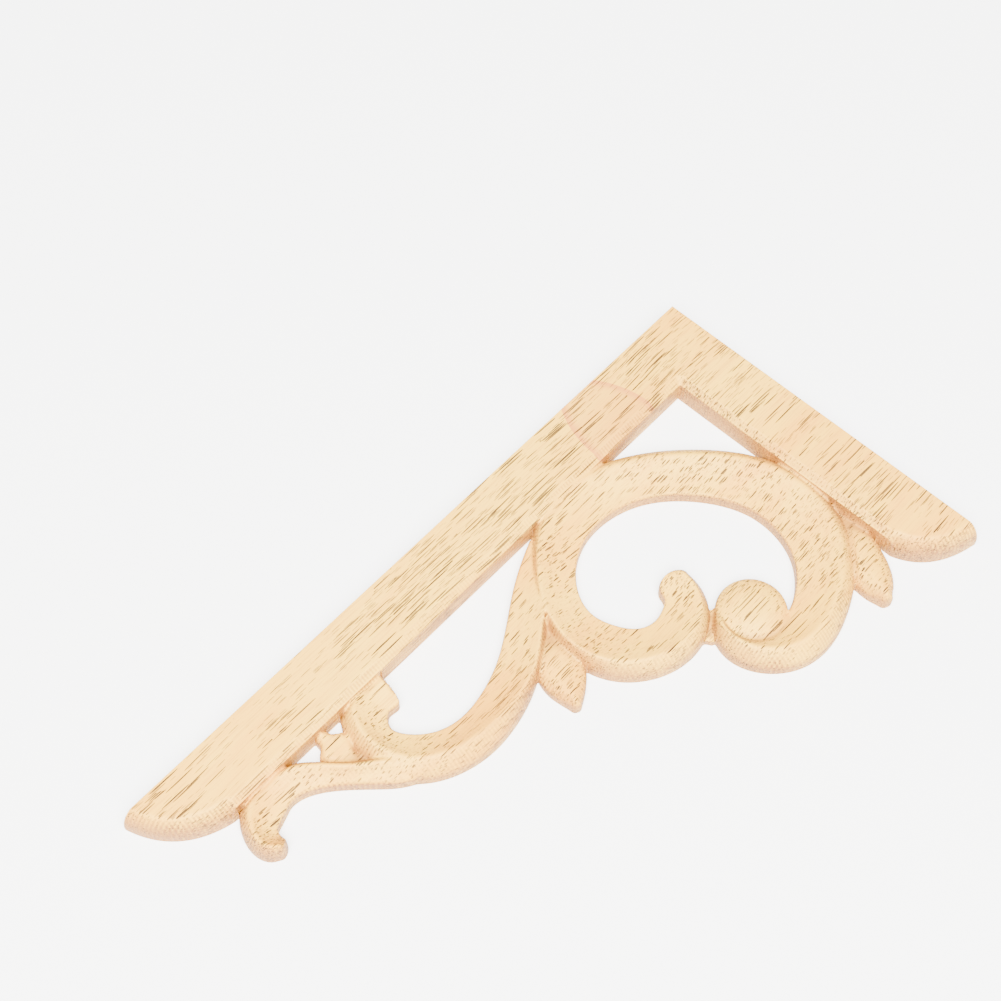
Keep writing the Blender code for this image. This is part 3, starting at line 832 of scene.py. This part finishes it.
def sanding_tree():
    """Return the node tree that sands the carved face and marks its grooves for painted shade."""
    tree = bpy.data.node_groups.new("carver_sanding_and_groove_shade", "GeometryNodeTree")
    face = tree.interface
    face.new_socket("Board", in_out="INPUT", socket_type="NodeSocketGeometry")
    face.new_socket("Sanding passes", in_out="INPUT", socket_type="NodeSocketInt")
    face.new_socket("Groove shade passes", in_out="INPUT", socket_type="NodeSocketInt")
    face.new_socket("Groove shade depth", in_out="INPUT", socket_type="NodeSocketFloat")
    face.new_socket("Wood", in_out="INPUT", socket_type="NodeSocketMaterial")
    face.new_socket("Board", in_out="OUTPUT", socket_type="NodeSocketGeometry")
    given = node(tree, "NodeGroupInput").outputs
    softness = named_value(tree, "softness")
    spread = named_value(tree, "spread")
    place = node(tree, "GeometryNodeInputPosition").outputs[0]
    height = node(tree, "ShaderNodeSeparateXYZ", {0: place}).outputs[2]
    sanded = smoothed(tree, height, given["Sanding passes"], softness)
    rise = {2: reckon(tree, "SUBTRACT", sanded, height)}
    rise = node(tree, "ShaderNodeCombineXYZ", rise).outputs[0]
    moved = node(tree, "GeometryNodeSetPosition", {"Geometry": given["Board"], "Offset": rise})
    # Painted shade: how far each point lies below its blurred surroundings marks the grooves and
    # creases to be darkened
    around = smoothed(tree, height, given["Groove shade passes"], spread)
    below = reckon(tree, "SUBTRACT", around, height)
    painted_groove_shade = reckon(tree, "DIVIDE", below, given["Groove shade depth"], clamp=True)
    painted_groove_shade = smoothed(tree, painted_groove_shade, given["Sanding passes"], spread)
    mark = {"Geometry": moved.outputs[0], "Name": "painted_groove_shade", "Value": painted_groove_shade}
    marked = node(tree, "GeometryNodeStoreNamedAttribute", mark, data_type="FLOAT")
    real = node(tree, "GeometryNodeRealizeInstances", {0: marked.outputs[0]}).outputs[0]
    done = node(tree, "GeometryNodeSetMaterial", {"Geometry": real, "Material": given["Wood"]})
    tree.links.new(done.outputs[0], node(tree, "NodeGroupOutput").inputs[0])
    return tree


def sanded_mesh(carved, wood):
    """Return the carved mesh after the sanding tree, as plain mesh data."""
    holder = bpy.data.objects.new("rough_board", carved)
    bpy.context.scene.collection.objects.link(holder)
    tree = sanding_tree()
    values = {"Sanding passes": SANDING_PASSES, "Groove shade passes": GROOVE_SHADE_PASSES,
              "Groove shade depth": GROOVE_SHADE_DEPTH * MM, "Wood": wood}
    sanding = holder.modifiers.new("sanding", "NODES")
    sanding.node_group = tree
    for socket in tree.interface.items_tree:
        if socket.in_out == "INPUT" and socket.name in values:
            sanding[socket.identifier] = values[socket.name]
    graph = bpy.context.evaluated_depsgraph_get()
    mesh = bpy.data.meshes.new_from_object(holder.evaluated_get(graph), depsgraph=graph)
    holder.modifiers.remove(sanding)
    bpy.data.objects.remove(holder)
    mesh.name = "carved_onlay"
    return mesh


def shader_group(name, inputs, outputs):
    """Return a new shader node group, its input sockets' outputs and its output node."""
    group = bpy.data.node_groups.new(name, "ShaderNodeTree")
    for direction, sockets in (("INPUT", inputs), ("OUTPUT", outputs)):
        for socket, kind in sockets.items():
            group.interface.new_socket(socket, in_out=direction, socket_type="NodeSocket" + kind)
    return group, node(group, "NodeGroupInput").outputs, node(group, "NodeGroupOutput")


def placed(tree, group, **inputs):
    """Place a node group in a tree, with the material's own values."""
    made = node(tree, "ShaderNodeGroup", node_tree=group)
    for name, value in inputs.items():
        socket = made.inputs[name.replace("_", " ").capitalize()]
        if isinstance(value, bpy.types.NodeSocket):
            tree.links.new(value, socket)
        else:
            socket.default_value = value
    return made.outputs


def fade(tree, value, low, high, at_low=0.0, at_high=1.0):
    """Return a smooth change from one number to another as a value goes from low to high."""
    inputs = {"Value": value, "From Min": low, "From Max": high,
              "To Min": at_low, "To Max": at_high}
    return node(tree, "ShaderNodeMapRange", inputs, interpolation_type="SMOOTHSTEP").outputs[0]


def blend(tree, factor, first, second):
    """Return the mix of two colours."""
    inputs = {0: factor, 6: first, 7: second}
    return node(tree, "ShaderNodeMix", inputs, data_type="RGBA").outputs[2]


def times(tree, first, second):
    """Return the product of two values."""
    return reckon(tree, "MULTIPLY", first, second)


def share_of(tree, value, least):
    """Return a share that goes from the least to one as a value goes from zero to one."""
    return reckon(tree, "MULTIPLY_ADD", value, 1.0 - least, least)


def vector_math(tree, operation, first, second):
    """Add a Vector Math node over two vectors and return the node."""
    return node(tree, "ShaderNodeVectorMath", {0: first, 1: second}, operation=operation)


def cells(tree, vector, length, width, height=None):
    """Return a vector measured in cells that are long along the grain."""
    height = width if height is None else height
    size = node(tree, "ShaderNodeCombineXYZ", {0: length, 1: width, 2: height}).outputs[0]
    return vector_math(tree, "DIVIDE", vector, size).outputs[0]


def noise(tree, vector, detail=2.0, roughness=0.5):
    """Return the outputs of a noise over a vector: a value and a colour."""
    inputs = {"Vector": vector, "Scale": 1.0, "Detail": detail, "Roughness": roughness}
    return node(tree, "ShaderNodeTexNoise", inputs).outputs


def wandering(tree, place):
    """Return the place shifted a little across the grain, so that the lines of the wood wander."""
    swing = noise(tree, cells(tree, place, *WANDER_CELL), detail=1.0)["Color"]
    centred = vector_math(tree, "SUBTRACT", swing, (0.5, 0.5, 0.5)).outputs[0]
    reach = (0.0, GRAIN_WANDER, GRAIN_WANDER)
    offset = vector_math(tree, "MULTIPLY", centred, reach).outputs[0]
    return vector_math(tree, "ADD", place, offset).outputs[0]


def grain_group():
    """Return the group for the wood's figure: long streaks, fine fibres and broad paler patches."""
    group, given, out = shader_group("rubberwood_figure", {"Place": "Vector"},
                                     {"Streaks": "Float", "Fibres": "Float", "Patches": "Float"})
    place = given["Place"]
    streaks = noise(group, cells(group, place, *STREAK_CELL), STREAK_DETAIL)
    fibres = noise(group, cells(group, place, *FIBRE_CELL), STREAK_DETAIL, FIBRE_ROUGHNESS)
    patches = noise(group, cells(group, place, *PATCH_CELL), detail=1.0)
    for name, value in (("Streaks", streaks), ("Fibres", fibres), ("Patches", patches)):
        group.links.new(value[0], out.inputs[name])
    return group


def pore_group():
    """Return the group for open pores: short dark slits along the grain, dots across it."""
    sizes = {name: "Float" for name in ("Length", "Width", "Height", "Size")}
    group, given, out = shader_group("open_pores", {"Place": "Vector", **sizes}, {"Pores": "Float"})
    vector = cells(group, given["Place"], given["Length"], given["Width"], given["Height"])
    slits = node(group, "ShaderNodeTexVoronoi", {"Vector": vector, "Scale": 1.0})
    chance = node(group, "ShaderNodeSeparateColor", {0: slits.outputs["Color"]}).outputs
    crowd = noise(group, cells(group, given["Place"], *CROWD_CELL))[0]
    present = reckon(group, "LESS_THAN", chance[2], fade(group, crowd, *CROWD_FADE))
    own = share_of(group, chance[0], PORE_LEAST_SIZE)
    radius = times(group, given["Size"], own)
    core = times(group, radius, PORE_CORE)
    slit = fade(group, slits.outputs["Distance"], core, radius, 1.0, 0.0)
    dark = share_of(group, chance[1], PORE_LEAST_DARK)
    group.links.new(times(group, times(group, slit, present), dark), out.inputs["Pores"])
    return group


def slope_group():
    """Return the group for cut slopes: gentle faces, end grain with painted shade, cut walls with
    painted shade, and tool ridges.
    """
    group, given, out = shader_group(
        "carved_slopes", {"Place": "Vector", "Pitch": "Float"},
        {"Gentle": "Float", "End grain and shade": "Float", "Cut wall shade": "Float", "Ridges": "Float"})
    worn = noise(group, cells(group, given["Place"], *RIDGE_CELL))[0]
    facing = node(group, "ShaderNodeNewGeometry").outputs["Normal"]
    parts = node(group, "ShaderNodeSeparateXYZ", {0: facing}).outputs
    along, across, upward = (reckon(group, "ABSOLUTE", part) for part in parts)
    place = node(group, "ShaderNodeSeparateXYZ", {0: given["Place"]}).outputs
    ridges = 0.0
    for steepness, run in ((along, place[1]), (across, place[0])):
        turns = reckon(group, "DIVIDE", run, given["Pitch"])
        wave = reckon(group, "SINE", times(group, turns, math.tau))
        wave = share_of(group, wave, 0.5)
        ridges = reckon(group, "MULTIPLY_ADD", wave, fade(group, steepness, *RIDGE_FADE), ridges)
    ridges = times(group, ridges, fade(group, worn, *WORN_FADE))
    group.links.new(fade(group, upward, *GENTLE_FADE), out.inputs["Gentle"])
    # Faces across the grain: real end grain, and painted shade on steep walls that face along X
    group.links.new(fade(group, along, *END_GRAIN_SHADE_FADE), out.inputs["End grain and shade"])
    # Painted shade: steep cut walls are tinted darker, as the light leaves them
    group.links.new(fade(group, upward, *CUT_WALL_SHADE_FADE), out.inputs["Cut wall shade"])
    group.links.new(ridges, out.inputs["Ridges"])
    return group


def glued_patch(tree, place):
    """Return where the pinker wood glued into the long bar shows, and its two dark borders."""
    flat = vector_math(tree, "MULTIPLY", place, (1.0, 1.0, 0.0)).outputs[0]
    masks = []
    for (x, y), radius in PATCH_CIRCLES:
        spot = ((x - ORIGIN[0]) * MM, (y - ORIGIN[1]) * MM, 0.0)
        gap = vector_math(tree, "DISTANCE", flat, spot).outputs["Value"]
        masks.append(reckon(tree, "SUBTRACT", radius * MM, gap))
    inside = reckon(tree, "MINIMUM", *masks)
    across = node(tree, "ShaderNodeSeparateXYZ", {0: place}).outputs[1]
    on_bar = reckon(tree, "LESS_THAN", across, BAR_WIDTH / 2 * MM)
    body = times(tree, on_bar, fade(tree, inside, *PATCH_EDGE_FADE))
    return body, times(tree, body, fade(tree, inside, *PATCH_BORDER_FADE))


def bare_rubberwood():
    """Return the bare rubberwood material."""
    material = bpy.data.materials.new("bare_rubberwood")
    material.use_nodes = True
    tree = material.node_tree
    shader = tree.nodes["Principled BSDF"]
    place = node(tree, "ShaderNodeTexCoord").outputs["Object"]
    wood_place = wandering(tree, place)
    shift = {"Vector": wood_place, "Location": PORE_SHIFT}
    shifted = node(tree, "ShaderNodeMapping", shift).outputs[0]
    figure = placed(tree, grain_group(), place=wood_place)
    slope = placed(tree, slope_group(), place=place, pitch=RIDGE_PITCH)
    pores = pore_group()
    large = placed(tree, pores, place=wood_place, **LARGE_PORES)["Pores"]
    small = placed(tree, pores, place=shifted, **SMALL_PORES)["Pores"]
    ends = placed(tree, pores, place=shifted, **END_PORES)["Pores"]
    large = times(tree, large, slope["Gentle"])
    ends = times(tree, ends, reckon(tree, "SUBTRACT", 1.0, slope["Gentle"]))
    ends = times(tree, ends, share_of(tree, slope["End grain and shade"], END_PORE_LEAST))
    # Painted shade in grooves and creases, read from the sanded mesh
    painted_groove_shade = node(tree, "ShaderNodeAttribute", attribute_name="painted_groove_shade").outputs["Fac"]
    body, border = glued_patch(tree, place)
    torn = fade(tree, figure["Fibres"], *TORN_FADE)

    wood = blend(tree, fade(tree, figure["Streaks"], *STREAK_FADE), CREAM, PEACH)
    for tint, colour in (
            (fade(tree, figure["Patches"], *PATCH_FADE), PALE),
            (times(tree, body, PATCH_TINT), ROSE),
            (times(tree, border, BORDER_TINT), ROSE),
            (fade(tree, figure["Fibres"], *FIBRE_FADE), TAN),
            # End grain is tan in part; in part this tan is painted shade on steep walls facing
            # along X
            (times(tree, slope["End grain and shade"], END_GRAIN_SHADE_TINT), TAN),
            # Cut walls: browner where the fibres tore, and painted shade on the steep walls
            (times(tree, slope["Cut wall shade"], torn), BROWN),
            (times(tree, slope["Ridges"], RIDGE_TINT), BROWN),
            # Painted shade: browner in grooves and creases, where shade falls
            (fade(tree, painted_groove_shade, *GROOVE_SHADE_FADE), BROWN),
            (times(tree, small, SMALL_PORE_TINT), PORE_BROWN),
            (ends, PORE_BROWN),
            (large, PORE_BROWN)):
        wood = blend(tree, tint, wood, colour)
    tree.links.new(wood, shader.inputs["Base Color"])

    open_pores = reckon(tree, "MAXIMUM", large, times(tree, small, SMALL_PORE_DEPTH))
    rough = fade(tree, figure["Fibres"], *ROUGH_FADE)
    rough = reckon(tree, "MULTIPLY_ADD", open_pores, PORE_ROUGHNESS, rough)
    tree.links.new(rough, shader.inputs["Roughness"])
    fibres = times(tree, figure["Fibres"], FIBRE_RELIEF)
    height = reckon(tree, "MULTIPLY_ADD", open_pores, -1.0, fibres)
    height = reckon(tree, "ADD", height, times(tree, slope["Ridges"], RIDGE_RELIEF))
    relief = {"Height": height, "Strength": BUMP_STRENGTH, "Distance": BUMP_HEIGHT}
    bump = node(tree, "ShaderNodeBump", relief).outputs[0]
    tree.links.new(bump, shader.inputs["Normal"])
    return material


def make_onlay():
    """Add the finished carved board in place of the plain solid."""
    finished = sanded_mesh(board_mesh("rough_board"), bare_rubberwood())
    onlay = bpy.data.objects.new("carved_onlay", finished)
    bpy.context.scene.collection.objects.link(onlay)
    onlay.data.shade_smooth()
    onlay.data.set_sharp_from_angle(angle=math.radians(SHARP_ANGLE))
    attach(onlay, "root")
    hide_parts("corner_onlay")
    return onlay


def make_floor():
    """Add the plain pale floor, which glows faintly."""
    data = bpy.data.meshes.new("pale_floor")
    square = ((-1, -1), (1, -1), (1, 1), (-1, 1))
    corners = [(x * FLOOR_REACH, y * FLOOR_REACH, 0.0) for x, y in square]
    data.from_pydata(corners, [], [(0, 1, 2, 3)])
    floor = bpy.data.objects.new("pale_floor", data)
    floor.location = (0.0, 0.0, -FLOOR_DROP)
    bpy.context.scene.collection.objects.link(floor)
    material = bpy.data.materials.new("pale_floor")
    material.use_nodes = True
    shader = material.node_tree.nodes["Principled BSDF"]
    shader.inputs["Base Color"].default_value = FLOOR_COLOUR
    shader.inputs["Emission Color"].default_value = (1.0, 1.0, 1.0, 1.0)
    shader.inputs["Emission Strength"].default_value = FLOOR_GLOW
    shader.inputs["Roughness"].default_value = FLOOR_ROUGHNESS
    data.materials.append(material)


def make_camera():
    """Add the camera at the photograph's viewing angle."""
    camera = bpy.data.objects.new("camera", bpy.data.cameras.new("camera"))
    camera.location = CAMERA_PLACE
    camera.rotation_euler = Vector(CAMERA_VIEW).to_track_quat("-Z", "Y").to_euler()
    camera.data.lens = CAMERA_LENS
    camera.data.sensor_width = SENSOR_WIDTH
    camera.data.clip_start = CLIP_START
    bpy.context.scene.collection.objects.link(camera)
    bpy.context.scene.camera = camera


def make_lights():
    """Add soft studio light: a warm white surround and one large soft lamp."""
    world = bpy.data.worlds.new("studio")
    world.use_nodes = True
    surround = world.node_tree.nodes["Background"].inputs
    surround["Color"].default_value = (*STUDIO_WHITE, 1.0)
    surround["Strength"].default_value = SURROUND_STRENGTH
    bpy.context.scene.world = world
    lamp = bpy.data.lights.new("soft_lamp", "AREA")
    lamp.shape = "SQUARE"
    lamp.size = LAMP_SIZE
    lamp.energy = LAMP_POWER
    lamp.color = STUDIO_WHITE
    place = bpy.data.objects.new("soft_lamp", lamp)
    place.location = LAMP_PLACE
    aim = Vector(LAMP_AIM) - place.location
    place.rotation_euler = aim.to_track_quat("-Z", "Y").to_euler()
    bpy.context.scene.collection.objects.link(place)


make_camera()
make_lights()
make_floor()
make_onlay()
